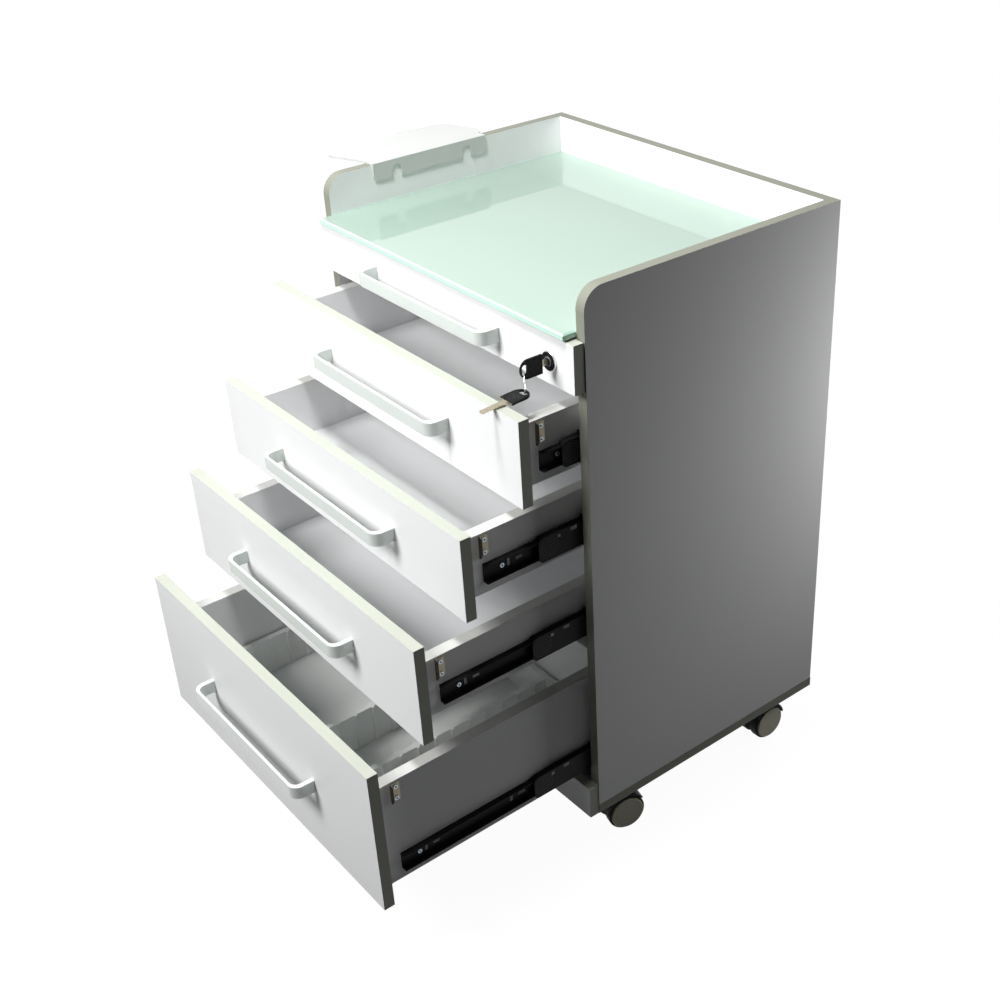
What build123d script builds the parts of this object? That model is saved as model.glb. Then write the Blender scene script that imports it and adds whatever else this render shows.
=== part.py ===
from build123d import *
import math
import os

# A mobile drawer unit for a dental surgery: a white board carcass on four twin-wheel
# castors, five full-overlay drawers on telescopic runners, a glass worktop set between
# the raised side and back boards, a small shelf hooked over the left side, and a cam
# lock in the top drawer with two keys on a ring.
# Millimetres. +x is the user's right, the fronts face -y, z is up from the floor.
# The origin lies on the floor, on the centre plane, below the carcass's front edges.
# The drawers are modelled as far open as they stand at rest.

# ---------------------------------------------------------------- carcass
WIDTH = 600.0               # over both side panels
DEPTH = 452.0               # carcass, without the fronts
BOARD = 16.0                # carcass boards
CASTOR_HEIGHT = 75.0        # floor to the underside of the bottom board
GALLERY = 68.0              # side and back panels above the deck
CORNER_RADIUS = 30.0        # top front corner of each side panel
BACK_PROUD = 1.0            # the bottom board shows this much behind the back panel

# ---------------------------------------------------------------- fronts
FRONT_INSET = 1.0           # end of a front inside the carcass's side face
FRONT_BOARD = 16.0
FRONT_GAP = 4.0             # between one front and the next
FRONT_STANDOFF = 1.4        # closed front to carcass
RAIL_HEIGHT = 53.0          # fixed front rail under the lowest drawer
FRONT_HEIGHT = {1: 67.0, 2: 122.0, 3: 121.0, 4: 148.0, 5: 228.0}     # from the top down
OPENING = {1: 0.0, 2: 88.0, 3: 184.7, 4: 264.9, 5: 350.6}

# ---------------------------------------------------------------- drawer boxes
BOX_BOARD = 18.0            # drawer sides and backs
BOX_BACK_GAP = 17.4         # closed box to the back panel
BOX_BOTTOM = 4.0            # thickness of the bottom sheet
BOX_REBATE = 8.0            # how far the bottom sheet enters the sides and the back
BOX_RISE = {1: 5.0, 2: 9.0, 3: 9.0, 4: 14.0, 5: 6.6}          # above the front's lower edge
BOX_DROP = {1: 22.0, 2: 24.0, 3: 23.0, 4: 47.0, 5: 52.5}      # below the front's upper edge

# ---------------------------------------------------------------- runners
RUNNER_GAP = 12.7           # between a drawer side and the carcass side
RUNNER_STEP = 50.0          # runners come in lengths of this step
RUNNER_SETBACK = 3.0        # outer member behind the carcass's front edge
RUNNER_SHEET = 1.2
RUNNER_PLAY = 0.3
OUTER_HEIGHT = 45.0
OUTER_REACH = 9.7           # flange of the outer member, from the carcass side
MIDDLE_HEIGHT = 37.0
MIDDLE_REACH = 11.0         # flange of the middle member, from the carcass side
INNER_HEIGHT = 27.0
INNER_SETBACK = 32.5        # inner member behind the front's back face
INNER_SHORTER = 20.0        # inner member, than the others
RUNNER_DECK_GAP = 0.5       # top runner below the deck
RUNNER_RISE = {2: 31.0, 3: 31.0, 4: 29.0, 5: 31.0}            # centre above the box's underside
MIDDLE_SHARE = {1: 0.4, 2: 0.352, 3: 0.408, 4: 0.355, 5: 0.2995}  # of the drawer's travel
END_BLOCK = 10.0            # plastic end of the middle member
END_BLOCK_RADIUS = 8.0
STRIP_WIDTH = 5.0           # ball strips between the members
INNER_STRIP_START = 15.0    # from the middle member's front end
INNER_STRIP_LENGTH = 110.0
OUTER_STRIP_SETBACK = 20.0      # from the middle member's back end
OUTER_STRIP_LENGTH = 200.0
RUNNER_SCREW_SETBACK = 28.5     # from the inner member's front end
RUNNER_SLOT = (4.5, 11.0)

# ---------------------------------------------------------------- catch plates
CATCH_SETBACK = 29.0        # behind the front's back face
CATCH_WIDTH = 14.0
CATCH_SHEET = 1.2
CATCH_FLANGE = 9.0          # stands out from the drawer side
CATCH_HEIGHT = 32.0
CATCH_STEP = 3.0            # the flange reaches this much lower than the plate
CATCH_TAPER = 10.0
CATCH_DROP = 3.0            # below the drawer side's upper edge
CATCH_SCREW_PITCH = 19.0
CATCH_SCREW_DROP = 6.0      # upper screw below the plate's upper edge
SCREW_HEAD_RADIUS = 3.2
SCREW_HEAD = 1.6

# ---------------------------------------------------------------- handles
HANDLE_HALF = 148.0         # centre to the outer face of a leg
HANDLE_PROJECTION = 32.0
HANDLE_HEIGHT = 20.0
HANDLE_LEG = 8.0
HANDLE_GRIP = 4.5
HANDLE_RADIUS = 15.0
HANDLE_EDGE = 1.0
HANDLE_SCREW_RADIUS = 2.0
HANDLE_SCREW_DEPTH = 11.0
HANDLE_SCREW_HEAD = (4.2, 2.4)  # radius and thickness
SCREW_PLAY = 0.05

# ---------------------------------------------------------------- glass worktop
GLASS = 8.0
GLASS_CHAMFER = 2.0
GLASS_SIDE_GAP = 0.5
GLASS_OVERHANG = 3.6        # in front of the closed fronts
PAD_THICKNESS = 3.0
PAD_RADIUS = 7.0
PAD_INSET = 40.0

# ---------------------------------------------------------------- lock and keys
LOCK_INSET = 48.2           # lock axis from the carcass's right face
LOCK_RISE = 32.4            # lock axis above front 1's lower edge
LOCK_RADIUS = 9.0
LOCK_FLANGE = (14.0, 3.0)   # radius and thickness
LOCK_BEHIND = 12.0          # body behind the front
LOCK_NUT = (12.0, 3.0)      # half across the flats, thickness
PLUG_RADIUS = 6.0
PLUG_PROUD = 1.0            # in front of the flange
KEYWAY_END = 1.0            # beyond the tip of the key
LOCK_PLAY = 0.05
TONGUE = (26.0, 14.0, 3.0)  # reach, width, thickness
TONGUE_TAIL = 7.0
TONGUE_SCREW = (4.0, 2.0)   # radius and thickness
TONGUE_ROOM = 2.0
DECK_NOTCH_HEIGHT = 10.0
KEY_HEAD = (34.0, 26.0, 3.0)     # length, width, thickness
KEY_HEAD_RADIUS = 12.5
KEY_HOLE = (8.0, 15.0)      # along the key, across the key
KEY_HOLE_WEB = 2.4
KEY_BLADE = (38.0, 8.0, 2.0)     # length clear of the head, width, thickness
KEY_ROOT = 6.0              # blade inside the head
KEY_CUTS = 5
KEY_CUT = 1.2               # depth of a cut in the blade's edge
KEY_FIRST_CUT = 12.0        # from the head
KEY_CUT_PITCH = 4.8
KEY_STANDOFF = 8.6          # head in front of the plug
KEY_PLAY = 0.1
RING_RADIUS = 14.3
RING_WIRE = 0.9
RING_TURN = 50.0            # plan angle between the ring's plane and -y
RING_LEAD = 2.9             # ring centre left of the lock axis
RING_SETBACK = 55.3         # ring centre in front of the carcass
RING_LIFT = 2.5             # wire's centre above the lower end of the key's hole
RING_PLAY = 0.4             # wire to the spare key's head
SPARE_END = 53.7            # the spare key's head starts this far in front of the carcass
SPARE_LEAD = 0.8            # spare key's centre line left of the lock axis
SPARE_DROOP = 3.4           # degrees down towards its tip

# ---------------------------------------------------------------- drawer 5 tray
TRAY_SHEET = 2.5
TRAY_HEIGHT = 65.0
TRAY_GAP = 2.3              # rim to the drawer sides
TRAY_RIM = 7.0
TRAY_PARTITION = 9.0
TRAY_PARTITIONS = (9.0, 129.0)   # x of each partition's centre
TRAY_RIB = (4.0, 3.0)       # width, projection
TRAY_RIB_PITCH = 30.0

# ---------------------------------------------------------------- side shelf
SHELF_SHEET = 2.5
SHELF_FRONT = 77.0          # front end of its channel, behind the carcass's front edge
SHELF_LENGTH = 211.0
SHELF_FLANGE_LENGTH = 207.0
SHELF_FLANGE_RADIUS = 6.0
SHELF_FLANGE = 23.0         # inner flange, below the side panel's upper edge
SHELF_LIP = 12.0            # outer lip, the same
SHELF_PLAY = 0.3
SHELF_SLOTS = (41.0, 169.0)     # from the flange's front end
SHELF_SLOT = (9.0, 10.0)
# Outline outside the side panel: out from its face, behind the channel's front end, corner radius.
SHELF_OUTLINE = (
    (74.0, -27.0, 10.0),
    (84.0, 25.0, 9.0),
    (44.0, 41.0, 14.0),
    (44.0, 71.0, 14.0),
    (90.0, 110.0, 16.0),
    (81.0, 191.0, 24.0),
    (18.0, 219.0, 12.0),
)

# ---------------------------------------------------------------- castors
CASTOR_INSET = 36.0         # swivel axis from the carcass's side face
CASTOR_FRONT = 44.5         # swivel axes behind the carcass's front edge
CASTOR_BACK = 53.0          # swivel axes in front of the carcass's back edge
WHEEL_RADIUS = 30.0
WHEEL_INNER = 4.5           # inner face of a wheel from the castor's middle
WHEEL_OUTER = 20.5
WHEEL_EDGE = 3.0
CAP_RADIUS = 26.5
CAP_THICKNESS = 2.5
TRAIL = 23.6
AXLE_RADIUS = 3.0
HUB_RADIUS = 10.0
HOOD = 2.5
HOOD_PLAY = 0.8
HOOD_ANGLES = (35.0, 170.0)
BOSS_RADIUS = 12.0
STEM_RADIUS = 5.0
STEM_LENGTH = 21.0
CASTOR_PLATE = (44.0, 2.5)  # side, thickness
CASTOR_SCREW_PITCH = 32.0
CASTOR_SCREW = (4.0, 2.0, 12.0)  # head radius, head thickness, length in the board
CASTOR_SHANK = 2.0
FIT = 0.05                  # radial, axles and stems
SWIVEL_PLAY = 0.3
HEADINGS = {                # direction of the trail, degrees from +x
    "front_left": 112.0,
    "front_right": 76.5,
    "back_left": -118.0,
    "back_right": -90.0,
}

# ---------------------------------------------------------------- levels and planes
BASE = CASTOR_HEIGHT
INSIDE = WIDTH / 2 - BOARD
BACK_FACE = DEPTH - BOARD
BOX_HALF = INSIDE - RUNNER_GAP
BOX_INNER = BOX_HALF - BOX_BOARD
BOX_DEPTH = BACK_FACE - BOX_BACK_GAP + FRONT_STANDOFF
RUNNER_LENGTH = RUNNER_STEP * (BOX_DEPTH // RUNNER_STEP)
FRONT_HALF = WIDTH / 2 - FRONT_INSET
DRAWERS = sorted(FRONT_HEIGHT)
FRONT_BOTTOM = {}
next_edge = BASE + RAIL_HEIGHT + FRONT_GAP
for number in reversed(DRAWERS):
    FRONT_BOTTOM[number] = next_edge
    next_edge += FRONT_HEIGHT[number] + FRONT_GAP
DECK_TOP = next_edge - FRONT_GAP
DECK_BOTTOM = DECK_TOP - BOARD
BODY_TOP = DECK_TOP + GALLERY
LOCK_X = WIDTH / 2 - LOCK_INSET
LOCK_Z = FRONT_BOTTOM[1] + LOCK_RISE
FRONT_FACE = -FRONT_STANDOFF - FRONT_BOARD     # outer face of a closed front
GLASS_BOTTOM = DECK_TOP + PAD_THICKNESS
PLUG_FRONT = FRONT_FACE - LOCK_FLANGE[1] - PLUG_PROUD
PLUG_BACK = -FRONT_STANDOFF + LOCK_BEHIND + LOCK_PLAY
LOCK_ROOM = PLUG_BACK + TONGUE[2] + TONGUE_SCREW[1] + TONGUE_ROOM     # where boards behind the lock begin
KEYWAY_DEPTH = KEY_BLADE[0] - KEY_STANDOFF + KEYWAY_END


def block(x0, x1, y0, y1, z0, z1):
    """A box between two opposite corners."""
    middle = Pos((x0 + x1) / 2, (y0 + y1) / 2, (z0 + z1) / 2)
    return middle * Box(abs(x1 - x0), abs(y1 - y0), abs(z1 - z0))


def rod(x, z, radius, y0, y1):
    """A cylinder lying along y."""
    return Pos(x, (y0 + y1) / 2, z) * Rot(90, 0, 0) * Cylinder(radius, y1 - y0)


def stud(y, z, radius, x0, x1):
    """A cylinder lying along x."""
    return Pos((x0 + x1) / 2, y, z) * Rot(0, 90, 0) * Cylinder(radius, x1 - x0)


def both_sides(solids):
    """Right-hand solids and their mirror images on the left."""
    return solids + [solid.mirror(Plane.YZ) for solid in solids]


def save(name, solids):
    """Write one node."""
    bodies = []
    for shape in solids:
        bodies.extend(shape.solids())
    for body in bodies:
        body.label = name
    export_step(Compound(label=name, children=bodies), f"parts/{name}.step")


# ---------------------------------------------------------------- carcass
def side_panel(sign):
    """A side board standing on the bottom board, its top front corner rounded."""
    panel = block(sign * INSIDE, sign * WIDTH / 2, 0, DEPTH, BASE + BOARD, BODY_TOP)
    corner = panel.edges().filter_by(Axis.X).sort_by(lambda e: e.center().Z - e.center().Y)[-1]
    return fillet(corner, CORNER_RADIUS)


def bottom_panel():
    return block(-WIDTH / 2, WIDTH / 2, 0, DEPTH + BACK_PROUD, BASE, BASE + BOARD)


def back_panel():
    return block(-INSIDE, INSIDE, BACK_FACE, DEPTH, BASE + BOARD, BODY_TOP)


def deck_panel():
    """The board under the glass, notched in front for the lock's tongue."""
    deck = block(-INSIDE, INSIDE, 0, BACK_FACE, DECK_BOTTOM, DECK_TOP)
    left = LOCK_X - TONGUE[0] - TONGUE_ROOM
    right = LOCK_X + TONGUE_TAIL + TONGUE_ROOM
    return deck - block(left, right, 0, LOCK_ROOM, DECK_BOTTOM, DECK_BOTTOM + DECK_NOTCH_HEIGHT)


def front_rail():
    """The fixed strip in front of the bottom board, in line with the drawer fronts."""
    return block(-FRONT_HALF, FRONT_HALF, -FRONT_BOARD, 0, BASE, BASE + RAIL_HEIGHT)


def glass_top():
    """The worktop, with a polished chamfer all round its upper edge."""
    half = INSIDE - GLASS_SIDE_GAP
    front = FRONT_FACE - GLASS_OVERHANG
    sheet = block(-half, half, front, BACK_FACE - GLASS_SIDE_GAP, GLASS_BOTTOM, GLASS_BOTTOM + GLASS)
    top_edges = sheet.faces().sort_by(Axis.Z)[-1].edges()
    return chamfer(top_edges, GLASS_CHAMFER)


def glass_pads():
    """Clear discs that hold the glass off the deck."""
    pads = []
    for x in (PAD_INSET - INSIDE, 0, INSIDE - PAD_INSET):
        for y in (PAD_INSET, BACK_FACE - PAD_INSET):
            disc = Cylinder(PAD_RADIUS, PAD_THICKNESS)
            pads.append(Pos(x, y, DECK_TOP + PAD_THICKNESS / 2) * disc)
    return pads


# ---------------------------------------------------------------- drawers
def back_of_front(n):
    """The plane of drawer n's front where its box begins."""
    return -FRONT_STANDOFF - OPENING[n]


def box_bottom(n):
    return FRONT_BOTTOM[n] + BOX_RISE[n]


def box_top(n):
    return FRONT_BOTTOM[n] + FRONT_HEIGHT[n] - BOX_DROP[n]


def runner_level(n):
    """The centre of a drawer's runners: the top pair hangs close below the deck."""
    if n == 1:
        return DECK_BOTTOM - RUNNER_DECK_GAP - OUTER_HEIGHT / 2
    return box_bottom(n) + RUNNER_RISE[n]


def handle_level(n):
    return FRONT_BOTTOM[n] + FRONT_HEIGHT[n] / 2


def drawer_front(n):
    """A front board with its handle screw holes, and the lock's hole in the top one."""
    y = back_of_front(n)
    z = FRONT_BOTTOM[n]
    front = block(-FRONT_HALF, FRONT_HALF, y - FRONT_BOARD, y, z, z + FRONT_HEIGHT[n])
    for x in handle_screws_at():
        front -= rod(x, handle_level(n), HANDLE_SCREW_RADIUS + SCREW_PLAY, y - FRONT_BOARD, y)
    if n == 1:
        front -= rod(LOCK_X, LOCK_Z, LOCK_RADIUS + LOCK_PLAY, y - FRONT_BOARD, y)
    return front


def drawer_box(n):
    """Two sides and a back, with a bottom sheet let into them."""
    y = back_of_front(n)
    end = y + BOX_DEPTH
    z = box_bottom(n)
    top = box_top(n)
    sheet_half = BOX_INNER + BOX_REBATE
    sheet_end = end - BOX_BOARD + BOX_REBATE
    bottom = block(-sheet_half, sheet_half, y, sheet_end, z, z + BOX_BOTTOM)
    right = block(BOX_INNER, BOX_HALF, y, end, z, top) - bottom
    left = block(-BOX_HALF, -BOX_INNER, y, end, z, top) - bottom
    back = block(-BOX_INNER, BOX_INNER, end - BOX_BOARD, end, z, top) - bottom
    if n == 1:
        lock_bottom = LOCK_Z - LOCK_NUT[0] - LOCK_PLAY
        right -= block(BOX_INNER, BOX_HALF, y, LOCK_ROOM, lock_bottom, top)
    return [right, left, back, bottom]


def handle_screws_at():
    offset = HANDLE_HALF - HANDLE_LEG / 2
    return (-offset, offset)


def handle(n):
    """A flat bar bent back to the front at both ends, and its two screws from inside."""
    back = back_of_front(n)
    face = back - FRONT_BOARD
    z = handle_level(n)
    inner_reach = HANDLE_PROJECTION - HANDLE_GRIP
    outer = Pos(0, -HANDLE_PROJECTION / 2) * Rectangle(2 * HANDLE_HALF, HANDLE_PROJECTION)
    outer = fillet(outer.vertices().group_by(Axis.Y)[0], HANDLE_RADIUS)
    opening = Pos(0, -inner_reach / 2) * Rectangle(2 * (HANDLE_HALF - HANDLE_LEG), inner_reach)
    opening = fillet(opening.vertices().group_by(Axis.Y)[0], HANDLE_RADIUS - HANDLE_GRIP)
    bow = extrude(outer - opening, HANDLE_HEIGHT)
    rims = bow.faces().filter_by(Axis.Z).edges()
    rims = rims.filter_by(lambda e: e.center().Y < -HANDLE_EDGE)
    bow = fillet(rims, HANDLE_EDGE)
    bow = Pos(0, face, z - HANDLE_HEIGHT / 2) * bow
    radius, thickness = HANDLE_SCREW_HEAD
    solids = []
    for x in handle_screws_at():
        bow -= rod(x, z, HANDLE_SCREW_RADIUS + SCREW_PLAY, face - HANDLE_SCREW_DEPTH, face)
        screw = rod(x, z, HANDLE_SCREW_RADIUS, face - HANDLE_SCREW_DEPTH, back)
        solids.append(screw + rod(x, z, radius, back, back + thickness))
    return [bow] + solids


def channel(x_open, x_web, web, half, y0, y1, z):
    """A C-shaped rail with its web at x_web and its open side at x_open."""
    inward = math.copysign(web, x_open - x_web)
    hollow_half = half - web
    rail = block(x_open, x_web, y0, y1, z - half, z + half)
    return rail - block(x_open, x_web + inward, y0, y1, z - hollow_half, z + hollow_half)


def runner_outer(n):
    """The member screwed to the carcass side."""
    z = runner_level(n)
    start = RUNNER_SETBACK
    end = start + RUNNER_LENGTH
    rail = channel(INSIDE - OUTER_REACH, INSIDE, RUNNER_SHEET, OUTER_HEIGHT / 2, start, end, z)
    return both_sides([rail])


def runner_inner(n):
    """The member screwed to the drawer side, with its slots and screws."""
    z = runner_level(n)
    start = back_of_front(n) + INNER_SETBACK
    end = start + RUNNER_LENGTH - INNER_SHORTER
    tip = INSIDE - 2 * (RUNNER_SHEET + RUNNER_PLAY)
    rail = channel(tip, BOX_HALF, RUNNER_SHEET, INNER_HEIGHT / 2, start, end, z)
    web_face = BOX_HALF + RUNNER_SHEET
    short, long = RUNNER_SLOT
    screw = start + RUNNER_SCREW_SETBACK
    upright = screw + 2 * short
    rail -= block(BOX_HALF, web_face, upright, upright + short, z - long / 2, z + long / 2)
    lying = upright + 3 * short
    rail -= block(BOX_HALF, web_face, lying, lying + long, z - short / 2, z + short / 2)
    screws = []
    for y in (screw, end - RUNNER_SCREW_SETBACK):
        screws.append(stud(y, z, SCREW_HEAD_RADIUS, web_face, web_face + SCREW_HEAD))
    return both_sides([rail] + screws)


def runner_middle(n):
    """The floating member, its rounded plastic end and the ball strips it carries."""
    z = runner_level(n)
    start = RUNNER_SETBACK - MIDDLE_SHARE[n] * OPENING[n]
    half = MIDDLE_HEIGHT / 2
    web = INSIDE - RUNNER_SHEET - RUNNER_PLAY
    tip = INSIDE - MIDDLE_REACH
    rail = channel(tip, web, RUNNER_SHEET, half, start + END_BLOCK, start + RUNNER_LENGTH, z)
    end = block(tip, web, start, start + END_BLOCK, z - half, z + half)
    nose = end.edges().filter_by(Axis.X).group_by(Axis.Y)[0]
    end = fillet(nose, END_BLOCK_RADIUS)
    pass_half = INNER_HEIGHT / 2 + RUNNER_PLAY
    end -= block(tip, web - RUNNER_SHEET, start, start + END_BLOCK, z - pass_half, z + pass_half)
    strips = []
    strip_x = (tip + web) / 2
    x0 = strip_x - STRIP_WIDTH / 2
    x1 = strip_x + STRIP_WIDTH / 2
    for up in (-1, 1):
        first = start + INNER_STRIP_START
        low = up * pass_half
        high = up * (half - RUNNER_SHEET)
        strips.append(block(x0, x1, first, first + INNER_STRIP_LENGTH, z + low, z + high))
        first = start + RUNNER_LENGTH - OUTER_STRIP_SETBACK - OUTER_STRIP_LENGTH
        low = up * half
        high = up * (OUTER_HEIGHT / 2 - RUNNER_SHEET - RUNNER_PLAY)
        strips.append(block(x0, x1, first, first + OUTER_STRIP_LENGTH, z + low, z + high))
    return both_sides([rail, end] + strips)


def catch_plate(n):
    """A small angle on the drawer's right side: the catch of the side lock, and its screws."""
    y = back_of_front(n) + CATCH_SETBACK
    top = box_top(n) - CATCH_DROP
    bottom = top - CATCH_HEIGHT
    plate = block(BOX_HALF, BOX_HALF + CATCH_SHEET, y, y + CATCH_WIDTH, bottom + CATCH_STEP, top)
    flange = Polyline(
        (BOX_HALF, bottom),
        (BOX_HALF + CATCH_FLANGE / 3, bottom),
        (BOX_HALF + CATCH_FLANGE, bottom + CATCH_TAPER),
        (BOX_HALF + CATCH_FLANGE, top),
        (BOX_HALF, top),
        close=True,
    )
    flange = extrude(make_face(Plane.XZ * flange), -CATCH_SHEET)
    plate += Pos(0, y, 0) * flange
    screws = []
    face = BOX_HALF + CATCH_SHEET
    middle = y + (CATCH_WIDTH + CATCH_SHEET) / 2
    for drop in (CATCH_SCREW_DROP, CATCH_SCREW_DROP + CATCH_SCREW_PITCH):
        screws.append(stud(middle, top - drop, SCREW_HEAD_RADIUS, face, face + SCREW_HEAD))
    return [plate] + screws


def tray():
    """The moulded insert of the lowest drawer: three compartments with upright ribs."""
    y0 = back_of_front(5) + TRAY_GAP
    y1 = back_of_front(5) + BOX_DEPTH - BOX_BOARD - TRAY_GAP
    z0 = box_bottom(5) + BOX_BOTTOM
    z1 = z0 + TRAY_HEIGHT
    rim_half = BOX_INNER - TRAY_GAP
    wall_half = rim_half - TRAY_RIM
    front_wall = y0 + TRAY_RIM
    back_wall = y1 - TRAY_RIM
    sheet = TRAY_SHEET
    body = block(-wall_half, wall_half, front_wall, back_wall, z0, z1)
    body += block(-rim_half, rim_half, y0, y1, z1 - sheet, z1)
    edges = [-wall_half + sheet]
    for x in TRAY_PARTITIONS:
        edges += [x - TRAY_PARTITION / 2, x + TRAY_PARTITION / 2]
        body -= block(
            x - TRAY_PARTITION / 2 + sheet,
            x + TRAY_PARTITION / 2 - sheet,
            front_wall + sheet,
            back_wall - sheet,
            z0,
            z1 - sheet,
        )
    edges.append(wall_half - sheet)
    rib, proud = TRAY_RIB
    clear = back_wall - front_wall - 2 * sheet
    count = int(clear // TRAY_RIB_PITCH)
    first = front_wall + sheet + (clear - (count - 1) * TRAY_RIB_PITCH) / 2
    for left, right in zip(edges[0::2], edges[1::2]):
        room = block(left, right, front_wall + sheet, back_wall - sheet, z0 + sheet, z1)
        for i in range(count):
            y = first + i * TRAY_RIB_PITCH
            room -= block(left, left + proud, y - rib / 2, y + rib / 2, z0 + sheet, z1)
            room -= block(right - proud, right, y - rib / 2, y + rib / 2, z0 + sheet, z1)
        body -= room
    return body


# ---------------------------------------------------------------- lock and keys
def lock_body():
    """The cam lock's housing through front 1, with the nut that clamps it."""
    back = -FRONT_STANDOFF
    radius, thickness = LOCK_FLANGE
    half_flats, nut = LOCK_NUT
    bore = rod(LOCK_X, LOCK_Z, PLUG_RADIUS + LOCK_PLAY, FRONT_FACE - thickness, back + LOCK_BEHIND)
    housing = rod(LOCK_X, LOCK_Z, LOCK_RADIUS, FRONT_FACE, back + LOCK_BEHIND)
    flange = rod(LOCK_X, LOCK_Z, radius, FRONT_FACE - thickness, FRONT_FACE)
    rim = flange.faces().sort_by(Axis.Y)[0].edges()
    flange = fillet(rim, thickness / 2)
    corner_radius = half_flats / math.cos(math.radians(30))
    hexagon = extrude(Plane.XZ * RegularPolygon(corner_radius, 6), -nut)
    hexagon = Pos(LOCK_X, back, LOCK_Z) * hexagon
    hexagon -= rod(LOCK_X, LOCK_Z, LOCK_RADIUS + LOCK_PLAY, back, back + nut)
    return [housing + flange - bore, hexagon]


def lock_plug():
    """The part that turns with the key."""
    width, thickness = KEY_BLADE[1:]
    plug = rod(LOCK_X, LOCK_Z, PLUG_RADIUS, PLUG_FRONT, PLUG_BACK)
    half = thickness / 2 + KEY_PLAY
    high = width / 2 + KEY_PLAY
    end = PLUG_FRONT + KEYWAY_DEPTH
    return plug - block(LOCK_X - half, LOCK_X + half, PLUG_FRONT, end, LOCK_Z - high, LOCK_Z + high)


def lock_cam():
    """The tongue, which points left when open and turns up into the deck's notch, and its screw."""
    reach, width, thickness = TONGUE
    end = PLUG_BACK + thickness
    low = LOCK_Z - width / 2
    tongue = block(LOCK_X - reach, LOCK_X + TONGUE_TAIL, PLUG_BACK, end, low, low + width)
    radius, head = TONGUE_SCREW
    return [tongue, rod(LOCK_X, LOCK_Z, radius, end, end + head)]


def key():
    """A key lying along -y in the plane x = 0: black head from y = 0, blade before it at +y."""
    length, width, thickness = KEY_HEAD
    along, across = KEY_HOLE
    outline = Pos(-length / 2, 0) * Rectangle(length, width)
    outline = fillet(outline.vertices().group_by(Axis.X)[0], KEY_HEAD_RADIUS)
    hole = Pos(-length + KEY_HOLE_WEB + along / 2, 0) * Rot(0, 0, 90) * SlotOverall(across, along)
    head = Plane.YZ * (outline - hole)
    head = Pos(-thickness / 2, 0, 0) * extrude(head, thickness)
    reach, blade_width, blade_thickness = KEY_BLADE
    half = blade_thickness / 2
    blade = block(-half, half, -KEY_ROOT, reach, -blade_width / 2, blade_width / 2)
    tip = blade.edges().filter_by(Axis.X).group_by(Axis.Y)[-1]
    blade = chamfer(tip, blade_width / 4)
    side = KEY_CUT * math.sqrt(2)
    for i in range(KEY_CUTS):
        y = KEY_FIRST_CUT + i * KEY_CUT_PITCH
        blade -= Pos(0, y, -blade_width / 2) * Rot(45, 0, 0) * Box(blade_thickness, side, side)
    return [head - blade, blade]


def key_in_lock():
    """The key that stands in the plug."""
    place = Pos(LOCK_X, PLUG_FRONT - KEY_STANDOFF, LOCK_Z)
    return [place * piece for piece in key()]


def ring_centre():
    """The ring hangs in the key's hole: its wire lies on the hole's lower end."""
    hole_bottom = LOCK_Z - KEY_HOLE[1] / 2
    drop = math.sqrt(RING_RADIUS**2 - (RING_LEAD / math.sin(math.radians(RING_TURN))) ** 2)
    return Vector(LOCK_X - RING_LEAD, -RING_SETBACK, hole_bottom + RING_LIFT - drop)


def key_ring():
    centre = ring_centre()
    return Pos(*centre) * Rot(0, 0, RING_TURN) * Rot(0, 90, 0) * Torus(RING_RADIUS, RING_WIRE)


def spare_key():
    """The second key, lying nearly level with its head's end on the ring."""
    centre = ring_centre()
    underside = centre.Z - RING_RADIUS + RING_WIRE + RING_PLAY
    middle = underside + KEY_HEAD[2] / 2
    pose = Pos(LOCK_X - SPARE_LEAD, -SPARE_END, middle) * Rot(SPARE_DROOP, 0, 0)
    flip = Rot(0, 0, 180) * Rot(0, 90, 0) * Pos(0, KEY_HEAD[0], 0)
    return [pose * flip * piece for piece in key()]


# ---------------------------------------------------------------- side shelf
def side_shelf():
    """A clear moulded shelf whose channel sits over the left side panel's upper edge."""
    outer = -WIDTH / 2
    inner = -INSIDE
    front = SHELF_FRONT
    points = [(outer - out, front + along) for out, along, radius in SHELF_OUTLINE]
    plate = make_face(Polyline((outer, front), *points, (outer, front + SHELF_LENGTH), close=True))
    for point, (out, along, radius) in zip(points, SHELF_OUTLINE):
        corner = plate.vertices().sort_by_distance((*point, 0))[0]
        plate = fillet(corner, radius)
    plate = Pos(0, 0, BODY_TOP) * extrude(plate, SHELF_SHEET)
    end = front + SHELF_FLANGE_LENGTH
    inner_face = inner + SHELF_PLAY
    inner_end = inner_face + SHELF_SHEET
    bottom = BODY_TOP - SHELF_FLANGE
    bridge = block(outer, inner_end, front, end, BODY_TOP, BODY_TOP + SHELF_SHEET)
    flange = block(inner_face, inner_end, front, end, bottom, BODY_TOP)
    corners = flange.edges().filter_by(Axis.X).group_by(Axis.Z)[0]
    flange = fillet(corners, SHELF_FLANGE_RADIUS)
    slot, high = SHELF_SLOT
    for offset in SHELF_SLOTS:
        y = front + offset
        flange -= block(inner_face, inner_end, y - slot / 2, y + slot / 2, bottom, bottom + high)
    outer_face = outer - SHELF_PLAY
    lip = block(outer_face - SHELF_SHEET, outer_face, front, end, BODY_TOP - SHELF_LIP, BODY_TOP)
    return plate + bridge + flange + lip


# ---------------------------------------------------------------- castors
def castor_places():
    """Name, swivel axis and heading of each castor."""
    x = WIDTH / 2 - CASTOR_INSET
    back = DEPTH - CASTOR_BACK
    axes = {
        "front_left": (-x, CASTOR_FRONT),
        "front_right": (x, CASTOR_FRONT),
        "back_left": (-x, back),
        "back_right": (x, back),
    }
    return [(name, axes[name], HEADINGS[name]) for name in axes]


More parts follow.
